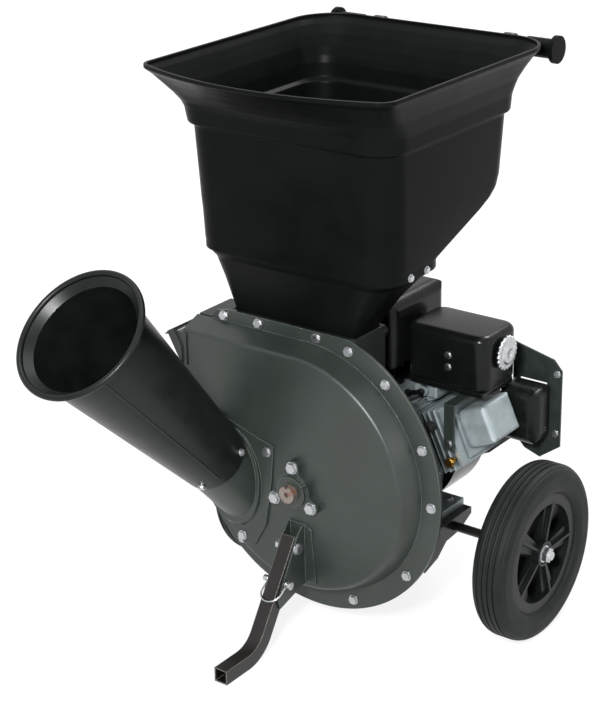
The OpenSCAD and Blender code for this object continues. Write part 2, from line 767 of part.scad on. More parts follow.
module cylinder_barrel() {
  pitch = 9.6;
  color(cast) placed() tilted() {
    round_box([deck, engine_y + 34, -48], [deck + 80, case_back - 14, 44], 10);
    for (i = [0:fin_count - 1]) translate([deck + 4 + i * pitch, 0, 0])
      round_box([0, engine_y + 18, -66], [2.8, case_back - 0.5, 50], 1.2);
    box([deck, engine_y + 26, -56], [deck + 3, case_back - 6, 46]);
  }
}

head_in = deck + 80;
head_out = head_in + 54;
head_front = engine_y + 24;
head_rear = case_back - 4;

strap_at = [196, 342];

module cylinder_head() {
  color(cast) placed() difference() {
    union() {
      tilted() {
        round_box([head_in, head_front + 6, -56], [head_out, head_rear, 44], 8);
        box([head_in, head_front, -62], [head_in + 8, head_rear, 46]);
        for (i = [0:2]) translate([head_in + 14 + i * 11, 0, 0])
          round_box([0, head_front - 4, -64], [3, head_rear + 1, 45], 1.2);
        box([head_out - 6, head_front, -60], [head_out, head_rear, 40]);
      }
      bar_y(head_front - 4, head_front + 10, strap_at[0], strap_at[1], 7);
    }
    tilted() translate([head_in + 36, head_front - 20, -46]) rotate([-90, 0, 0])
      cylinder(h = 40, r = 5 + hole);
    bar_y(head_front - 10, head_front + 9, strap_at[0], strap_at[1], 3 + hole);
  }
}

module rocker_cover() {
  color(cast) placed() tilted() {
    intersection() {
      round_box([head_out - 20, engine_y + 52, -40], [head_out + 58, case_back - 14, 26], 9);
      box([head_out, 0, -100], [head_out + 100, 600, 100]);
    }
    box([head_out, engine_y + 44, -52], [head_out + 5, case_back - 8, 36]);
  }
}

shroud_t = 2;

// Outline of the flywheel shroud, drawn in by wall on every side.
module blower_outline(wall) {
  translate([crank_x, crank_z]) circle(r = 138 - wall);
  translate([crank_x, crank_z]) rotate(cyl_tilt) translate([0, wall - 75]) square([186 - wall, 150 - 2 * wall]);
  translate([wall - 70, crank_z + 60]) square([120 - 2 * wall, 96 - wall]);
}

// Sheet shroud over the flywheel, open in front where the crank comes through.
module blower_housing() {
  color(black_paint) placed() difference() {
    union() {
      slab(case_back, case_back + 92) blower_outline(0);
      bar_y(case_back + 90, case_back + 98, crank_x, crank_z, 104);
    }
    slab(case_back + shroud_t, case_back + 92 - shroud_t) blower_outline(shroud_t);
    bar_y(case_back - 5, case_back + 95, crank_x, crank_z, 70);
  }
}

recoil_y = case_back + 98;

module recoil_cover() {
  color(black_paint) placed() difference() {
    union() {
      bar_y(recoil_y, recoil_y + 34, crank_x, crank_z, 92);
      bar_y(recoil_y + 33, recoil_y + 50, crank_x, crank_z, 56);
      translate([crank_x + 66, recoil_y + 2, crank_z + 50]) cube([30, 28, 40]);
    }
    bar_y(recoil_y - 5, recoil_y + 34 - shroud_t, crank_x, crank_z, 92 - shroud_t);
    bar_y(recoil_y, recoil_y + 50 - shroud_t, crank_x, crank_z, 56 - shroud_t);
    for (a = [0:30:330]) translate([crank_x, recoil_y + 26, crank_z]) rotate([0, a, 0])
      translate([62, 0, -5]) cube([24, 20, 10]);
  }
}

module starter_grip() {
  x = crank_x + 81;
  z = crank_z + 90;
  color(plastic) placed() {
    translate([x, recoil_y + 16, z]) cylinder(h = 16, r = 8);
    bar_x(x - 34, x + 34, recoil_y + 16, z + 22, 9);
  }
}

tank_low = 432;

module fuel_tank() {
  color(black_paint) placed() {
    round_box([-142, engine_y + 32, tank_low], [75, engine_y + 194, 556], 20);
    for (x = [-62, 22], y = [engine_y + 56, engine_y + 128])
      translate([x, y, case_top]) cylinder(h = tank_low - case_top + 8, r = 9);
    translate([-60, engine_y + 116, 550]) cylinder(h = 16, r = 24);
  }
}

module fuel_cap() {
  color(black_paint) placed() translate([-60, engine_y + 116, 557]) difference() {
    union() {
      cylinder(h = 26, r = 31);
      for (a = [0:30:330]) rotate([0, 0, a]) translate([31, 0, 0]) cylinder(h = 22, r = 2.5, $fn = 12);
    }
    translate([0, 0, -1]) cylinder(h = 10 + gap, r = 24 + run);
  }
}

cleaner_a = [82, 150, 424];
cleaner_b = [239, 257, 521];
knob_at = [204, 484];

module air_cleaner_base() {
  color(black_paint) placed()
    round_box([cleaner_a[0] + 6, cleaner_a[1] + 6, cleaner_a[2] - 12],
      [cleaner_b[0] - 6, cleaner_b[1] - 6, cleaner_a[2]], 4);
}

module air_cleaner_cover() {
  color(black_paint) placed() difference() {
    round_box(cleaner_a, cleaner_b, 14);
    bar_x(cleaner_b[0] - 30, cleaner_b[0] + 5, knob_at[0], knob_at[1], 4 + run);
    for (z = [459, 480]) bar_y(cleaner_a[1] - 5, cleaner_a[1] + 14, 168, z, 3 + hole);
  }
}

module air_cleaner_knob() {
  color(zinc) placed() translate([cleaner_b[0] + gap, knob_at[0], knob_at[1]]) rotate([0, 90, 0]) {
    translate([0, 0, -24]) cylinder(h = 26, r = 4);
    cylinder(h = 5, r = 14);
    translate([0, 0, 4]) cylinder(h = 7, r = 25);
    for (a = [0:45:315]) rotate([0, 0, a]) translate([24, 0, 4.5]) cylinder(h = 6, r = 6.5);
    translate([0, 0, 10]) cylinder(h = 6, r1 = 18, r2 = 12);
  }
}

module carburettor() {
  top = cleaner_a[2] - 12;
  color(cast) placed() difference() {
    union() {
      round_box([90, engine_y + 72, top - 25], [136, engine_y + 132, top], 4);
      box([112, engine_y + 80, top - 50], [134, engine_y + 124, top - 20]);
      bar_y(engine_y + 66, engine_y + 74, 112, top - 13, 9);
    }
    tilted() box([0, 0, -100], [head_in + 100, 600, 50.3]);
    bar_y(engine_y + 40, engine_y + 100, 112, top - 13, 3 + run);
  }
}

module throttle_lever() {
  top = cleaner_a[2] - 12;
  color(black_paint) placed() translate([112, 0, top - 13]) {
    bar_y(engine_y + 56, engine_y + 92, 0, 0, 3);
    slab(engine_y + 58, engine_y + 61) rotate(195) {
      circle(r = 6);
      translate([0, -4]) square([26, 8]);
      translate([26, 0]) circle(r = 6);
    }
    bar_y(engine_y + 50, engine_y + 60, 26 * cos(195), 26 * sin(195), 4.5);
  }
}

module muffler() {
  color(black_paint) placed() {
    round_box([208, case_back - 2, 306], [284, case_back + 55, cleaner_a[2] - 15], 20);
    bar_y(head_rear + 1 + gap, case_back + 26, 188, 346, 13);
    translate([188, case_back + 26, 346]) sphere(r = 13);
    bar_x(188, 214, case_back + 26, 346, 13);
  }
}

guard_y = case_back + 55;

module muffler_guard() {
  color(black_paint) placed() difference() {
    slab(guard_y, guard_y + 3)
      polygon([[206, 466], [284, 448], [300, 430], [300, 292], [262, 264], [232, 274], [206, 300]]);
    for (z = [325, 350, 375, 400]) translate([0, 0, z]) box([220, guard_y - 5, -4], [272, guard_y + 10, 4]);
    for (z = [315, 424]) bar_y(guard_y - 5, guard_y + 8, 291, z, 3 + hole);
  }
}

module guard_nuts() {
  color(zinc) placed() for (z = [315, 424]) bolt_front(291, guard_y, z, 3, 8);
}

strap_y = head_front - 4 - gap - 3;

module support_strap() {
  top = cleaner_a[2] - 12;
  x = strap_at[0];
  color(black_paint) placed() difference() {
    union() {
      box([x - 10, strap_y, strap_at[1] - 12], [x + 10, strap_y + 3, top]);
      box([x - 10, strap_y, top - 3], [x + 10, 180, top]);
    }
    bar_y(strap_y - 20, strap_y + 20, x, strap_at[1], 3 + hole);
  }
}

module engine_screws() {
  color(zinc) placed() {
    for (z = [459, 480]) bolt_front(168, cleaner_a[1], z, 3, 12);
    bolt_front(strap_at[0], strap_y, strap_at[1], 3, 14);
  }
}

module brass_plug() {
  at = [head_in + 36, head_front - 4, -46];
  color(brass) placed() tilted() translate(at) rotate([90, 0, 0]) {
    cylinder(h = 8, r = 8.5, $fn = 6);
    translate([0, 0, -8]) cylinder(h = 9, r = 5);
  }
}

module plug_lead() {
  a = [head_in + 24, head_front - 4 - gap, 20];
  start = [crank_x + a[0] * cos(cyl_tilt) - a[2] * sin(cyl_tilt), engine_y + 11,
    crank_z + a[0] * sin(cyl_tilt) + a[2] * cos(cyl_tilt)];
  bend = [80, engine_y + 11, 382];
  d = start - bend;
  color(rubber) placed() {
    bar_y(engine_y + 2, a[1], start[0], start[2], 9);
    translate(bend) rotate([0, 90 - atan2(d[2], d[0]), 0]) cylinder(h = norm(d), r = 3.5);
    translate(bend) sphere(r = 4);
    bar_y(bend[1], case_back, bend[0], bend[2], 3.5);
  }
}

tube_foot = [24, 114, 372];
tube_top = [60, 108, 508];

module tube_frame() {
  d = tube_top - tube_foot;
  translate(tube_top) rotate([0, acos(d[2] / norm(d)), atan2(d[1], d[0])]) children();
}

module oil_tube() {
  len = norm(tube_top - tube_foot);
  color(black_paint) placed() difference() {
    tube_frame() translate([0, 0, -len - 10]) cylinder(h = len + 10, r = 9);
    tube_frame() translate([0, 0, -40]) cylinder(h = 50, r = 7);
    box([-100, 0, case_top - 60], [100, 200, case_top]);
  }
}

module dipstick_cap() {
  color(black_paint) placed() tube_frame() {
    translate([0, 0, -30]) cylinder(h = 32, r = 7 - run);
    translate([0, 0, gap]) cylinder(h = 12, r = 12);
    translate([0, 0, gap + 11]) cylinder(h = 6, r1 = 12, r2 = 8);
    for (a = [0:45:315]) rotate([0, 0, a]) translate([12, 0, gap]) cylinder(h = 11, r = 1.8, $fn = 12);
  }
}

module engine_bolts() {
  color(zinc) placed() for (p = engine_feet) translate([p[0], p[1], base_z + 14]) bolt(4, 26);
}

module drive_shaft() {
  color(bare) placed() difference() {
    bar_y(face_y - 30, engine_y + 66, crank_x, crank_z, shaft_r);
    bar_y(face_y - 35, face_y - 22, crank_x, crank_z, 4);
    translate([crank_x - 3, face_y - 35, crank_z + shaft_r - 4]) cube([6, 14, 10]);
  }
}

disc_y = face_y + 14;
rear_plate_y = back_y - 24;
pin_turns = [45, 135, 225, 315];

function pin_at(i) = [crank_x + pin_ring_r * cos(pin_turns[i]), crank_z + pin_ring_r * sin(pin_turns[i])];

module rotor_disc() {
  color(bare) placed() difference() {
    union() {
      bar_y(disc_y, disc_y + 10, crank_x, crank_z, disc_r);
      bar_y(disc_y + 9, disc_y + 46, crank_x, crank_z, 32);
    }
    bar_y(disc_y - 5, disc_y + 60, crank_x, crank_z, shaft_r + 0.02);
    for (i = [0:3]) bar_y(disc_y + 4, disc_y + 20, pin_at(i)[0], pin_at(i)[1], 6 + 0.02);
    for (s = [0, 180]) translate([crank_x, disc_y, crank_z]) rotate([0, s, 0]) {
      translate([70, -5, 18]) cube([80, 30, 14]);
      for (x = [88, 132]) translate([x, -5, 2]) rotate([-90, 0, 0]) cylinder(h = 12, r = 4.02);
    }
  }
}

module chipper_knives() {
  color(zinc) placed() for (s = [0, 180]) translate([crank_x, disc_y, crank_z]) rotate([0, s, 0]) {
    translate([66, 0, 0]) rotate([90, 0, 90]) linear_extrude(90)
      polygon([[0, -16], [-6, -16], [-6, 12], [-3, 17.5], [0, 17.5]]);
    for (x = [88, 132]) translate([x, -0.5, 2]) rotate([-90, 0, 0]) cylinder(h = 6, r = 4);
  }
}

module rear_plate() {
  color(bare) placed() difference() {
    union() {
      bar_y(rear_plate_y, rear_plate_y + 6, crank_x, crank_z, pin_ring_r + 18);
      bar_y(rear_plate_y - 8, rear_plate_y + 1, crank_x, crank_z, 28);
    }
    bar_y(rear_plate_y - 20, rear_plate_y + 20, crank_x, crank_z, shaft_r + 0.02);
    for (i = [0:3]) bar_y(rear_plate_y - 5, rear_plate_y + 20, pin_at(i)[0], pin_at(i)[1], 6.02);
  }
}

hammer_ys = [disc_y + 28, disc_y + 62];
hammer_t = 8;

module hammer_pins() {
  stops = [disc_y + 10, hammer_ys[0] - gap, hammer_ys[0] + hammer_t + gap, hammer_ys[1] - gap,
    hammer_ys[1] + hammer_t + gap, rear_plate_y];
  color(bare) placed() for (i = [0:3]) {
    bar_y(disc_y + 4, rear_plate_y + 9, pin_at(i)[0], pin_at(i)[1], 6);
    for (k = [0, 2, 4]) bar_y(stops[k], stops[k + 1], pin_at(i)[0], pin_at(i)[1], 10);
    bar_y(rear_plate_y + 6, rear_plate_y + 11, pin_at(i)[0], pin_at(i)[1], 9);
  }
}

// Two hammers hanging from one pin.
module hammer_set(i) {
  p = pin_at(i);
  color(bare) placed() for (y = hammer_ys) slab(y, y + hammer_t) translate(p) difference() {
    union() {
      circle(r = 14);
      translate([-14, -hammer_reach + 4]) square([28, hammer_reach - 4]);
      translate([-10, -hammer_reach]) square([20, hammer_reach]);
    }
    circle(r = 6 + run);
  }
}

module hammers_a() {
  hammer_set(0);
}

module hammers_b() {
  hammer_set(1);
}

module hammers_c() {
  hammer_set(2);
}

module hammers_d() {
  hammer_set(3);
}

housing_back();
front_cover();
case_bolts();
discharge_hood();
bearing_flange();
bearing_bolts();
chute_socket();
chipper_chute();
chute_screws();
stand_bracket();
stand_leg();
pivot_bolt();
lock_pin();
pin_bail();
hopper();
hopper_throat();
throat_screws();
handle_tube();
handle_caps();
handle_brackets();
base_frame();
axle();
tyre_right();
hub_right();
tyre_left();
hub_left();
axle_nuts();
crankcase();
cylinder_barrel();
cylinder_head();
rocker_cover();
blower_housing();
recoil_cover();
starter_grip();
fuel_tank();
fuel_cap();
air_cleaner_base();
air_cleaner_cover();
air_cleaner_knob();
carburettor();
throttle_lever();
muffler();
muffler_guard();
guard_nuts();
support_strap();
engine_screws();
brass_plug();
plug_lead();
oil_tube();
dipstick_cap();
engine_bolts();
drive_shaft();
rotor_disc();
chipper_knives();
rear_plate();
hammer_pins();
hammers_a();
hammers_b();
hammers_c();
hammers_d();
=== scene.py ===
import json

import bpy
import numpy as np
from mathutils import Matrix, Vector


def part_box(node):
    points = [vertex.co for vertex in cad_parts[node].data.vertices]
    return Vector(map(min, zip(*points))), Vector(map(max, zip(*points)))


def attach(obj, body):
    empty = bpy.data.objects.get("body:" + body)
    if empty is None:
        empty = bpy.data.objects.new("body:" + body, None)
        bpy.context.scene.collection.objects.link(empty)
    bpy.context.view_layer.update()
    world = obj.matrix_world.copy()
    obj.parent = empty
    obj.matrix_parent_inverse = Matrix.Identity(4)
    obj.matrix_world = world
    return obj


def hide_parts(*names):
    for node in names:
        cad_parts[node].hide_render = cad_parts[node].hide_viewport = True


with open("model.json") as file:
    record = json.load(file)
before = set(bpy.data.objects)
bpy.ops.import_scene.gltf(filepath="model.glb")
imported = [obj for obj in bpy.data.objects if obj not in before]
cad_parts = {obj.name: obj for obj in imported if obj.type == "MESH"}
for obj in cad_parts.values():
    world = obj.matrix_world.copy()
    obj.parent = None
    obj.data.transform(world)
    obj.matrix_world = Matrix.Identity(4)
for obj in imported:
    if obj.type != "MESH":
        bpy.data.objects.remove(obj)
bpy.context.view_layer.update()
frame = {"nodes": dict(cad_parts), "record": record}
MM = 0.001

# Sockets of a Mix node that is set to colour: its factor, the colour under, the colour over and the result.
FACTOR, UNDER, OVER, MIXED = 0, 6, 7, 2
# Noise seldom leaves this span, so the two tones of a finish are spread over it.
CLOUD_SPAN = (0.3, 0.7)
NOISE_ROUGHNESS = 0.55
# Cosine of a normal's turn on an edge that takes the full pale mark, partly worn paint and partly a painted
# highlight, and on one that takes none, and the least mark on an edge.
MARKED_EDGE, UNMARKED_EDGE, LEAST_EDGE_MARK = 0.7, 0.98, 0.35
# How far the painted shade spreads out of a crevice in millimetres, and the share of open sky where it is full and
# where it ends.
SHADE_REACH, SHADE_FULL, SHADE_END = 10, 0.25, 0.8
# Depth of the tyre's fine ribs and of rust pits, in millimetres.
RIB_DEPTH, PIT_DEPTH = 0.35, 0.05


def linear(hex_colour):
    """An sRGB hex colour as a linear RGBA tuple."""
    c = np.array([int(hex_colour[i:i + 2], 16) for i in (1, 3, 5)]) / 255
    c = np.where(c <= 0.04045, c / 12.92, ((c + 0.055) / 1.055) ** 2.4)
    return (*c.tolist(), 1.0)


def add(tree, kind, inputs=None, **settings):
    """Adds one shader node with its settings. Each input, by name or number, gets a link or a fixed value."""
    node = tree.nodes.new("ShaderNode" + kind)
    for key, value in settings.items():
        setattr(node, key, value)
    for key, value in (inputs or {}).items():
        if isinstance(value, bpy.types.NodeSocket):
            tree.links.new(value, node.inputs[key])
        else:
            node.inputs[key].default_value = value
    return node


def surface(name, tones, tone_mm, rough, grain_mm, grain_depth, metallic=0.0, stretch=(1, 1, 1), specular=0.5,
            edge_mm=1.0, worn=None, crevice_shade=None, rib_mm=0):
    """A finish of two tones in soft patches tone_mm across, whose roughness follows the patches, with a grain.

    Edges are eased to edge_mm so that they catch the light. Where the colours are given, edges are painted paler,
    partly as worn paint and partly as a painted highlight, crevices are darkened with painted shade, and ribs
    rib_mm apart run round the X axis. Stretch draws the pattern out along an
    axis."""
    material = bpy.data.materials.new(name)
    material.use_nodes = True
    tree = material.node_tree
    tree.nodes.clear()
    place = add(tree, "TexCoord").outputs["Object"]
    drawn = add(tree, "Mapping", {"Vector": place, "Scale": [1 / s for s in stretch]}).outputs["Vector"]
    clouds = add(tree, "TexNoise", {"Vector": drawn, "Scale": 1 / (tone_mm * MM), "Detail": 4,
                                    "Roughness": NOISE_ROUGHNESS}).outputs["Fac"]
    patches = add(tree, "MapRange", {"Value": clouds, "From Min": CLOUD_SPAN[0],
                                     "From Max": CLOUD_SPAN[1]}).outputs["Result"]
    colour = add(tree, "Mix", {FACTOR: patches, UNDER: linear(tones[0]), OVER: linear(tones[1])},
                 data_type="RGBA").outputs[MIXED]
    edge = add(tree, "Bevel", {"Radius": edge_mm * MM}, samples=4).outputs["Normal"]
    # Edges painted paler: partly worn paint and partly a painted highlight.
    if worn:
        flat = add(tree, "NewGeometry").outputs["Normal"]
        facing = add(tree, "VectorMath", {0: edge, 1: flat}, operation="DOT_PRODUCT").outputs["Value"]
        on_edge = add(tree, "MapRange", {"Value": facing, "From Min": MARKED_EDGE, "From Max": UNMARKED_EDGE,
                                         "To Min": 1, "To Max": 0}).outputs["Result"]
        uneven = add(tree, "MapRange", {"Value": patches, "To Min": LEAST_EDGE_MARK}).outputs["Result"]
        rubbed_and_lit = add(tree, "Math", {0: on_edge, 1: uneven}, operation="MULTIPLY").outputs[0]
        colour = add(tree, "Mix", {FACTOR: rubbed_and_lit, UNDER: colour, OVER: linear(worn)},
                     data_type="RGBA").outputs[MIXED]
    # Crevices darkened by ambient occlusion: painted shade.
    if crevice_shade:
        open_sky = add(tree, "AmbientOcclusion", {"Distance": SHADE_REACH * MM}, samples=6).outputs["AO"]
        deep = add(tree, "MapRange", {"Value": open_sky, "From Min": SHADE_FULL, "From Max": SHADE_END,
                                      "To Min": 1, "To Max": 0}).outputs["Result"]
        colour = add(tree, "Mix", {FACTOR: deep, UNDER: colour, OVER: linear(crevice_shade)},
                     data_type="RGBA").outputs[MIXED]
    grain = add(tree, "TexNoise", {"Vector": drawn, "Scale": 1 / (grain_mm * MM), "Detail": 2,
                                   "Roughness": NOISE_ROUGHNESS}).outputs["Fac"]
    normal = add(tree, "Bump", {"Height": grain, "Distance": grain_depth * MM, "Strength": 1,
                                "Normal": edge}).outputs["Normal"]
    if rib_mm:
        along = add(tree, "SeparateXYZ", {"Vector": place}).outputs["X"]
        angle = add(tree, "Math", {0: along, 1: 2 * np.pi / (rib_mm * MM)}, operation="MULTIPLY").outputs[0]
        wave = add(tree, "Math", {0: angle}, operation="SINE").outputs[0]
        normal = add(tree, "Bump", {"Height": wave, "Distance": RIB_DEPTH * MM, "Strength": 1,
                                    "Normal": normal}).outputs["Normal"]
    gloss = add(tree, "MapRange", {"Value": patches, "To Min": rough[0], "To Max": rough[1]}).outputs["Result"]
    shader = add(tree, "BsdfPrincipled", {"Base Color": colour, "Roughness": gloss, "Normal": normal,
                                          "Metallic": metallic, "Specular IOR Level": specular})
    add(tree, "OutputMaterial", {"Surface": shader.outputs["BSDF"]})
    return material


def rusted(name, tones, patch_mm, film_span, metallic, rough, pit_mm):
    """Bare steel under a film of rust in patches. Each pair gives the steel's value first and the rust's second."""
    material = bpy.data.materials.new(name)
    material.use_nodes = True
    tree = material.node_tree
    tree.nodes.clear()
    place = add(tree, "TexCoord").outputs["Object"]
    clouds = add(tree, "TexNoise", {"Vector": place, "Scale": 1 / (patch_mm * MM), "Detail": 6,
                                    "Roughness": NOISE_ROUGHNESS}).outputs["Fac"]
    film = add(tree, "MapRange", {"Value": clouds, "From Min": film_span[0],
                                  "From Max": film_span[1]}).outputs["Result"]
    colour = add(tree, "Mix", {FACTOR: film, UNDER: linear(tones[0]), OVER: linear(tones[1])},
                 data_type="RGBA").outputs[MIXED]
    metal = add(tree, "MapRange", {"Value": film, "To Min": metallic[0], "To Max": metallic[1]}).outputs["Result"]
    gloss = add(tree, "MapRange", {"Value": film, "To Min": rough[0], "To Max": rough[1]}).outputs["Result"]
    pits = add(tree, "TexNoise", {"Vector": place, "Scale": 1 / (pit_mm * MM), "Detail": 3,
                                  "Roughness": NOISE_ROUGHNESS}).outputs["Fac"]
    normal = add(tree, "Bump", {"Height": pits, "Distance": PIT_DEPTH * MM, "Strength": 1}).outputs["Normal"]
    shader = add(tree, "BsdfPrincipled", {"Base Color": colour, "Metallic": metal, "Roughness": gloss,
                                          "Normal": normal})
    add(tree, "OutputMaterial", {"Surface": shader.outputs["BSDF"]})
    return material


# Sizes of patches and grain, and the grain's depth, are in millimetres. Grit finer than about a millimetre, as on
# blasted metal and rubber, is drawn as coarse as here so that it shows.

# Powder-coated sheet steel: a dark grey green satin with fine orange peel, paler along its edges, partly rubbed
# paint and partly a painted highlight.
housing_paint = surface("satin_powder_coat", ("#242a27", "#2c332f"), 90, (0.34, 0.42), 2.2, 0.015,
                        worn="#98a09b")
# Zinc-plated steel hardware: bright, slightly clouded.
zinc = surface("zinc_plate", ("#c3c5c8", "#aeb0b2"), 6, (0.24, 0.38), 0.8, 0.01, metallic=1.0)
# Moulded plastic of the chute: black, with a soft gloss that is faintly uneven.
chute_plastic = surface("gloss_plastic", ("#0d100f", "#141817"), 40, (0.3, 0.38), 3.0, 0.01, specular=0.22)
# Rotomoulded polyethylene: near black, lightly pebbled, with hardly any shine.
hopper_plastic = surface("rotomoulded_plastic", ("#090b0a", "#0d0f0e"), 60, (0.3, 0.4), 1.6, 0.03,
                         specular=0.04)
# Enamel on square and round tube: brown black, pale grey along the tube's corners, partly worn paint and partly
# a painted highlight.
leg_paint = surface("tube_enamel", ("#12100f", "#1a1716"), 50, (0.26, 0.36), 1.8, 0.015, specular=0.4,
                    edge_mm=2.5, worn="#a39b95")
# Enamel on the rear half of the housing: black, duller than the cover's coat, with paler edges, partly worn paint
# and partly a painted highlight.
back_paint = surface("housing_enamel", ("#141615", "#1b1e1c"), 60, (0.34, 0.44), 2.0, 0.015, specular=0.25,
                     worn="#59605c")
# Tyre rubber: dull black with a little dust, and fine ribs round the tread.
tyre_rubber = surface("tyre_rubber", ("#101412", "#1b1f1c"), 25, (0.5, 0.66), 0.9, 0.04, specular=0.18,
                      rib_mm=5.0)
# Moulded plastic of the wheel centres: black, a little glossier than the tyre.
hub_plastic = surface("hub_plastic", ("#0d100f", "#141816"), 30, (0.32, 0.42), 1.2, 0.02, specular=0.2)
# Sand-blasted die-cast aluminium: pale grey, slightly blue, darkened between the fins with painted shade.
cast_aluminium = surface("cast_aluminium", ("#8d979a", "#9ba5a8"), 18, (0.42, 0.55), 1.0, 0.06, metallic=0.5,
                         crevice_shade="#2c3133")
# Stove enamel on the engine's sheet covers: black, with a sharp gloss.
engine_black = surface("gloss_enamel", ("#0b0c0c", "#101111"), 45, (0.14, 0.24), 2.0, 0.008, specular=0.25)
# Moulded plastic of the tank and the air cleaner: black, glossy.
engine_plastic = surface("gloss_moulding", ("#0b0c0c", "#101111"), 45, (0.2, 0.3), 1.6, 0.012, specular=0.18)
# Enamel on the guard: satin black lifted to a grey green, with paler edges, partly worn paint and partly a painted
# highlight.
guard_paint = surface("greyed_enamel", ("#1f2523", "#272d2a"), 20, (0.4, 0.5), 1.4, 0.015, specular=0.25,
                      worn="#6d7571")
# Heat-proof paint on the muffler: a plain black satin.
muffler_paint = surface("heat_paint", ("#0c0e0e", "#121514"), 12, (0.24, 0.36), 1.0, 0.02, specular=0.18)
# Turned brass: warm yellow, slightly dulled.
brass = surface("brass", ("#b58a3c", "#c69a4a"), 5, (0.26, 0.38), 0.6, 0.01, metallic=1.0)
# Rubber of the lead and its boot: dull black.
lead_rubber = surface("lead_rubber", ("#191919", "#222222"), 8, (0.5, 0.65), 0.8, 0.02)
# Bare shaft steel: grey metal under brown patches of rust, which are rougher and less like metal.
bare_steel = rusted("bare_steel", ("#8d8680", "#6d4c3c"), 14, (0.38, 0.62), (0.85, 0.25), (0.32, 0.7), 1.2)
# Ground tool steel: bright, with grinding marks along its length.
tool_steel = surface("ground_steel", ("#a9abad", "#969899"), 2, (0.28, 0.4), 0.4, 0.01, metallic=1.0,
                     stretch=(20, 1, 1))

FINISH = {
    "housing_paint": housing_paint, "zinc": zinc, "chute_plastic": chute_plastic,
    "hopper_plastic": hopper_plastic, "leg_paint": leg_paint, "tyre_rubber": tyre_rubber,
    "hub_plastic": hub_plastic, "cast_aluminium": cast_aluminium, "engine_black": engine_black,
    "engine_plastic": engine_plastic, "muffler_paint": muffler_paint, "brass": brass,
    "lead_rubber": lead_rubber, "bare_steel": bare_steel, "tool_steel": tool_steel}
# Nodes that get a finish of their own instead of their slot's.
OWN_FINISH = {"housing_back": back_paint, "muffler_guard": guard_paint}
for part in frame["record"]["subparts"]:
    mesh = frame["nodes"][part["node"]].data
    mesh.materials.clear()
    mesh.materials.append(OWN_FINISH.get(part["node"], FINISH[part["material_slot"]]))


def closed_skin(name, points, material, body="frame", capped=False):
    """A closed, smooth mesh over points[u, v] in metres, riding on a body.

    It wraps round in v, and in u too unless its two ends are capped."""
    rows, columns = points.shape[:2]
    u, v = np.meshgrid(np.arange(rows), np.arange(columns), indexing="ij")
    index = u * columns + v
    beside = np.roll(index, -1, 1)
    faces = np.stack((index, beside, np.roll(beside, -1, 0), np.roll(index, -1, 0)), -1)
    faces = (faces[:-1] if capped else faces).reshape(-1, 4).tolist()
    if capped:
        faces += [index[0, ::-1].tolist(), index[-1].tolist()]
    mesh = bpy.data.meshes.new(name)
    mesh.from_pydata(points.reshape(-1, 3).tolist(), [], faces)
    mesh.polygons.foreach_set("use_smooth", np.ones(len(mesh.polygons), bool))
    mesh.materials.append(material)
    obj = bpy.data.objects.new(name, mesh)
    bpy.context.scene.collection.objects.link(obj)
    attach(obj, body)
    return obj


def tight(rows, reach=7.0):
    """Closed rows with two more between each pair, reach millimetres from either end, so that easing keeps the
    shape. Where a pair is too close for that, they lie 0.4 of the way in, so that no two rows fall together."""
    ahead = np.roll(rows, -1, 0) - rows
    length = np.linalg.norm(ahead[:, :5], axis=1, keepdims=True)
    t = np.minimum(0.4, reach / np.maximum(length, 1e-6))
    return np.stack((rows, rows + t * ahead, rows + (1 - t) * ahead), 1).reshape(-1, rows.shape[1])


def eased(rows, passes=2):
    """Closed corner cutting of rows of numbers: each pass turns a, b into 3a/4 + b/4 and a/4 + 3b/4."""
    for _ in range(passes):
        ahead = np.roll(rows, -1, 0)
        rows = np.stack((0.75 * rows + 0.25 * ahead, 0.25 * rows + 0.75 * ahead), 1).reshape(-1, rows.shape[1])
    return rows


def rounded_sections(rows, steps=14, across=25):
    """Rounded sections, one a row: z, left, right, front, back, corner r, front bow b, front corner c, in mm.

    P(u, v) runs round the section: arcs of r at the back, y = front + b (x / half)^2 across the front, and arcs
    of c from there to the sides, each leaving the bow at its own slope."""
    z, left, right, front, back, r, bow, c = (rows[:, i:i + 1] for i in range(8))
    half = (right - left) / 2
    lean = np.arctan(2 * bow * (half - c) / half ** 2)
    reach = half - c + c * np.sin(lean)
    centre = front + bow * (reach / half) ** 2 + c * np.cos(lean)
    t = np.linspace(0, 1, steps)
    q = t * np.pi / 2
    one, two = np.pi + (np.pi / 2 - lean) * t, 1.5 * np.pi + lean + (np.pi / 2 - lean) * t
    w = reach * np.linspace(-1, 1, across)[1:-1]
    x = np.concatenate((right - r + r * np.cos(q), left + r - r * np.sin(q), left + c + c * np.cos(one),
                        (left + right) / 2 + w, right - c + c * np.cos(two)), 1)
    y = np.concatenate((back - r + r * np.sin(q), back - r + r * np.cos(q), centre + c * np.sin(one),
                        front + bow * (w / half) ** 2, centre + c * np.sin(two)), 1)
    return np.stack((x, y, z + 0 * x), -1) * MM


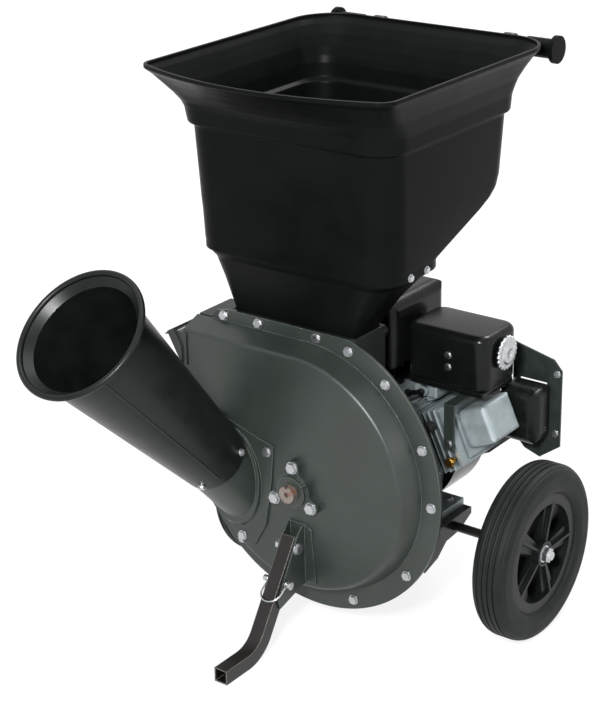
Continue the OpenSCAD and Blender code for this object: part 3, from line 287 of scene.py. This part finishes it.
# The moulded bin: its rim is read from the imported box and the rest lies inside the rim, in millimetres. The
# columns are the share of the height, how far the half width, the front and the back lie inside the rim, the
# corner, how far the inner wall is lifted and set in at the back, the bow of the front and the front corner.
BIN = np.array((
    (0, 43, 113, 258, 46, 0, 5, 0, 46),
    (0.045, 43, 113, 258, 46, 2, 5, 0, 46),
    (0.058, 42.5, 112.5, 251, 46, 4.7, 2, 0, 46),
    (0.205, 41, 110, 127, 48, 4.7, 2, 0, 48),
    (0.244, 40.5, 109, 101, 48, 4, 3, 0, 48),
    (0.288, 40, 108, 84, 48, 3, 4, 0, 48),
    (0.353, 39.5, 107, 76, 48, 1, 5, 0, 48),
    (0.667, 37, 101, 67, 48, 0, 5, 0, 48),
    (0.683, 29, 92, 59, 52, 0, 5, 0, 52),
    (0.763, 27, 88, 57, 54, 0, 5, 0, 52),
    (0.801, 24, 82, 53, 56, 0, 5, 3, 50),
    (0.85, 20, 65, 43, 62, 0, 5, 12, 46),
    (0.904, 13, 42, 28, 68, 0, 5, 25, 40),
    (0.952, 6, 18, 12, 73, 0, 5, 40, 35),
    (0.981, 0, 0, 0, 78, 0, 5, 50, 30),
    (1, 0, 0, 0, 78, 0, 5, 50, 30)))
BIN_WALL = 5.0
rim_low, rim_high = (np.array(v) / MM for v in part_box("hopper"))
middle, rim_half = (rim_low[0] + rim_high[0]) / 2, (rim_high[0] - rim_low[0]) / 2
share, inward, from_front, from_back, corner, lift, inset, bow, front_corner = BIN.T
height = rim_low[2] + share * (rim_high[2] - rim_low[2])
half = rim_half - inward
outside = np.stack((height, middle - half, middle + half, rim_low[1] + from_front, rim_high[1] - from_back,
                    corner, bow, front_corner), 1)
inside = np.stack((height + lift, middle - half + BIN_WALL, middle + half - BIN_WALL,
                   rim_low[1] + from_front + BIN_WALL, rim_high[1] - from_back - inset, corner - BIN_WALL + 1,
                   bow, front_corner - BIN_WALL + 1), 1)
rings = np.r_[outside, inside[::-1]]
bin_skin = closed_skin("hopper_skin", rounded_sections(eased(tight(rings))), hopper_plastic)
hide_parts("hopper")

# The funnel under the bin, in millimetres: height, left and right of the bin's middle, front and back of the
# housing's flange plane, corner. Its lining lies one wall inside it.
FLANGE_BEHIND_RIM = 168
FUNNEL = np.array((
    (514.3, -168.5, 80.5, 9.5, 83.5, 12),
    (537, -168.5, 80.5, 9.5, 83.5, 12),
    (560, -171, 98, -1, 86, 18),
    (600, -176, 130, -18, 91, 28),
    (640, -183, 168, -36, 96, 38),
    (655, -187.6, 187.6, -49.6, 99.6, 42),
    (676, -187.6, 187.6, -49.6, 99.6, 42)))
FUNNEL_WALL, LINING_CORNER = 3, 2
plane = rim_low[1] + FLANGE_BEHIND_RIM
funnel = FUNNEL + (0, middle, middle, plane, plane, 0)
lining = funnel + (0, FUNNEL_WALL, -FUNNEL_WALL, FUNNEL_WALL, -FUNNEL_WALL, -LINING_CORNER)
rings = np.r_[funnel, lining[::-1]]
rings = np.c_[rings, 0 * rings[:, 0], rings[:, 5]]
funnel_skin = closed_skin("throat_skin", rounded_sections(eased(tight(rings))), hopper_plastic)
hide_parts("hopper_throat")


def soft_block(low, high, corner, foot, crown, steps=8):
    """Sections of a block whose upright corners have one radius, and whose foot and crown edges have their own.

    Along each edge of radius e the section is drawn in by e (1 - sin t) while it rises by e (1 - cos t)."""
    t = np.linspace(0, np.pi / 2, steps)
    drawn_in = np.r_[foot * (1 - np.sin(t)), crown * (1 - np.sin(t[::-1]))]
    height = np.r_[low[2] + foot * (1 - np.cos(t)), high[2] - crown * (1 - np.cos(t[::-1]))]
    round_by = np.maximum(corner - drawn_in, 2)
    rows = np.stack((height, low[0] + drawn_in, high[0] - drawn_in, low[1] + drawn_in, high[1] - drawn_in,
                     round_by, 0 * height, round_by), 1)
    return rounded_sections(rows, across=9)


# The moulded air-cleaner cover, with the soft edges of a moulding.
cover_low, cover_high = (np.array(v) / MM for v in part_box("air_cleaner_cover"))
cleaner_skin = closed_skin("cleaner_skin", soft_block(cover_low, cover_high, corner=24, foot=9, crown=13),
                           engine_plastic, capped=True)
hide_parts("air_cleaner_cover")

# The cover's knob, turned about X, in millimetres: distance from the cover, radius r, share k of the grip's lobes.
# P(u, a) lies at that distance along X and at r + k d cos(n a) from the axis, with n lobes of depth d.
KNOB = np.array((
    (0.3, 13, 0), (3.5, 14, 0), (4.5, 22, 0.2), (5, 27, 0.8), (6.5, 28.6, 1), (9, 28.8, 1), (10.8, 27.6, 0.9),
    (11.6, 25, 0.4), (11.2, 22, 0), (10.8, 20, 0), (12, 18.4, 0), (15.2, 16.6, 0), (16, 15, 0), (16, 8, 0),
    (15.4, 7, 0), (13.5, 6.4, 0)))
KNOB_HEIGHT = 16.3
LOBES, LOBE_DEPTH = 20, 1.1
knob_low, knob_high = (np.array(v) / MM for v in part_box("air_cleaner_knob"))
axis = (knob_low + knob_high) / 2
turn = np.linspace(0, 2 * np.pi, 240, endpoint=False)
radius = KNOB[:, 1:2] + KNOB[:, 2:] * LOBE_DEPTH * np.cos(LOBES * turn)
along = knob_high[0] - KNOB_HEIGHT + KNOB[:, :1] + 0 * radius
rings = np.stack((along, axis[1] + radius * np.cos(turn), axis[2] + radius * np.sin(turn)), -1) * MM
knob_skin = closed_skin("knob_skin", rings, zinc, "knob", capped=True)
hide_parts("air_cleaner_knob")

# The chute's axis, from the bin's middle and the flange plane, as the solids have it: millimetres and degrees.
CHUTE_FOOT = np.array((middle - 139, plane - 40, 250))
CHUTE_RISE, CHUTE_TURN = np.radians((48, 4))
# The cone's radius at its two ends along that axis, and where the seams run.
CONE_ENDS, CONE_RADII = (73, 474), (58.9, 94.7)
SEAM_ENDS = (90, 468)
outward = np.array((-np.sin(CHUTE_TURN) * np.cos(CHUTE_RISE), -np.cos(CHUTE_TURN) * np.cos(CHUTE_RISE),
                    np.sin(CHUTE_RISE)))
level = np.array((np.cos(CHUTE_TURN), -np.sin(CHUTE_TURN), 0))
upward = np.cross(outward, level)


def mould_seam(name, degrees, width=1.8, height=0.9):
    """A bead along the chute's cone at an angle a about its axis, where the two mould halves met.

    P(s, t) = foot + s out + (r(s) + h cos t) e(a) + w sin t e(a + 90), with r(s) the cone's radius at s."""
    s = np.linspace(*SEAM_ENDS, 40)[:, None, None]
    t = np.linspace(0, 2 * np.pi, 16, endpoint=False)[None, :, None]
    a = np.radians(degrees)
    radial, sideways = (np.cos(a + q) * level + np.sin(a + q) * upward for q in (0, np.pi / 2))
    radius = np.interp(s, CONE_ENDS, CONE_RADII)
    points = CHUTE_FOOT + s * outward + (radius + height * np.cos(t)) * radial + width * np.sin(t) * sideways
    seam = closed_skin(name, points * MM, chute_plastic, capped=True)


mould_seam("chute_seam_front", 325)
mould_seam("chute_seam_back", 145)

# The floor is matt. To the camera and in reflections it glows nearly white, with a share of plain shading that keeps
# a soft shadow by the machine, and is quite white beyond the second of two distances, in metres.
FLOOR_REACH, FLOOR_GLOW, FLOOR_FADE = 20, 0.87, (0.8, 2.2)
pale_floor = bpy.data.materials.new("pale_floor")
pale_floor.use_nodes = True
tree = pale_floor.node_tree
tree.nodes.clear()
rays = add(tree, "LightPath").outputs
seen = add(tree, "Math", {0: rays["Is Camera Ray"], 1: rays["Is Glossy Ray"]}, operation="MAXIMUM").outputs[0]
seen = add(tree, "Math", {0: seen, 1: rays["Is Transmission Ray"]}, operation="MAXIMUM").outputs[0]
place = add(tree, "TexCoord").outputs["Object"]
away = add(tree, "VectorMath", {0: place}, operation="LENGTH").outputs["Value"]
glow = add(tree, "MapRange", {"Value": away, "From Min": FLOOR_FADE[0], "From Max": FLOOR_FADE[1],
                              "To Min": FLOOR_GLOW, "To Max": 1.0}).outputs["Result"]
white = add(tree, "Emission", {"Color": linear("#ffffff"), "Strength": glow}).outputs[0]
shaded = add(tree, "BsdfDiffuse", {"Color": linear("#707070")}).outputs[0]
shown = add(tree, "AddShader", {0: white, 1: shaded}).outputs[0]
matt = add(tree, "BsdfDiffuse", {"Color": linear("#e8e8e6")}).outputs[0]
mixed = add(tree, "MixShader", {0: seen, 1: matt, 2: shown}).outputs[0]
add(tree, "OutputMaterial", {"Surface": mixed})

floor_mesh = bpy.data.meshes.new("floor")
corners = np.array(((-1, -1, 0), (1, -1, 0), (1, 1, 0), (-1, 1, 0))) * FLOOR_REACH
floor_mesh.from_pydata(corners.tolist(), [], [(0, 1, 2, 3)])
floor_mesh.materials.append(pale_floor)
floor = bpy.data.objects.new("floor", floor_mesh)
bpy.context.scene.collection.objects.link(floor)

# Round the stage it is white to the camera, in reflections and through clear things, and a dim fill otherwise.
FILL = 0.22
world = bpy.data.worlds.new("studio")
bpy.context.scene.world = world
world.use_nodes = True
tree = world.node_tree
tree.nodes.clear()
rays = add(tree, "LightPath").outputs
seen = add(tree, "Math", {0: rays["Is Camera Ray"], 1: rays["Is Glossy Ray"]}, operation="MAXIMUM").outputs[0]
seen = add(tree, "Math", {0: seen, 1: rays["Is Transmission Ray"]}, operation="MAXIMUM").outputs[0]
fill = add(tree, "Background", {"Color": linear("#f4f6f8"), "Strength": FILL}).outputs[0]
white = add(tree, "Background", {"Color": linear("#ffffff"), "Strength": 1.0}).outputs[0]
mixed = add(tree, "MixShader", {0: seen, 1: fill, 2: white}).outputs[0]
add(tree, "OutputWorld", {"Surface": mixed})


def lamp(name, place_m, target_m, size_m, watts):
    """A square soft box at a place, aimed at a point."""
    back = np.array(place_m, float) - target_m
    back /= np.linalg.norm(back)
    right = np.cross((0, 0, 1), back)
    right /= np.linalg.norm(right)
    light = bpy.data.lights.new(name, "AREA")
    light.size = size_m
    light.energy = watts
    obj = bpy.data.objects.new(name, light)
    turned = np.stack((right, np.cross(back, right), back), 1)
    obj.matrix_world = Matrix(np.r_[np.c_[turned, place_m], [[0, 0, 0, 1]]].tolist())
    bpy.context.scene.collection.objects.link(obj)


# A small bright key near the camera, as a flash is, with soft light from above, the right and behind.
lamp("key", (1.25, -2.6, 2.2), (0, 0, 0.5), 0.45, 160)
lamp("top", (-0.4, 0.4, 3.4), (0, 0, 0.6), 1.8, 32)
lamp("side", (3.2, 0.6, 1.5), (0, 0, 0.5), 1.2, 10)
lamp("back", (0.3, 2.4, 3.4), (0, 0, 0.5), 1.2, 100)

# The camera's view, in degrees, and its place, in metres from the bin's middle, the flange plane and the floor.
AZIMUTH, ELEVATION, ROLL = np.radians((37.3, 22.0, -1.2))
EYE = (1.6788, -2.234, 1.6299)
LENS_MM, SENSOR_MM = 95.05, 36
back = np.array((np.sin(AZIMUTH) * np.cos(ELEVATION), -np.cos(AZIMUTH) * np.cos(ELEVATION), np.sin(ELEVATION)))
right = np.array((np.cos(AZIMUTH), np.sin(AZIMUTH), 0))
up = np.cross(back, right)
turned = np.stack((right * np.cos(ROLL) + up * np.sin(ROLL), up * np.cos(ROLL) - right * np.sin(ROLL), back), 1)
camera = bpy.data.objects.new("camera", bpy.data.cameras.new("camera"))
camera.data.lens = LENS_MM
camera.data.sensor_width = SENSOR_MM
eye = np.array(EYE) + (middle * MM, plane * MM, 0)
camera.matrix_world = Matrix(np.r_[np.c_[turned, eye], [[0, 0, 0, 1]]].tolist())
bpy.context.scene.collection.objects.link(camera)
bpy.context.scene.camera = camera
bpy.context.scene.view_settings.view_transform = "Standard"
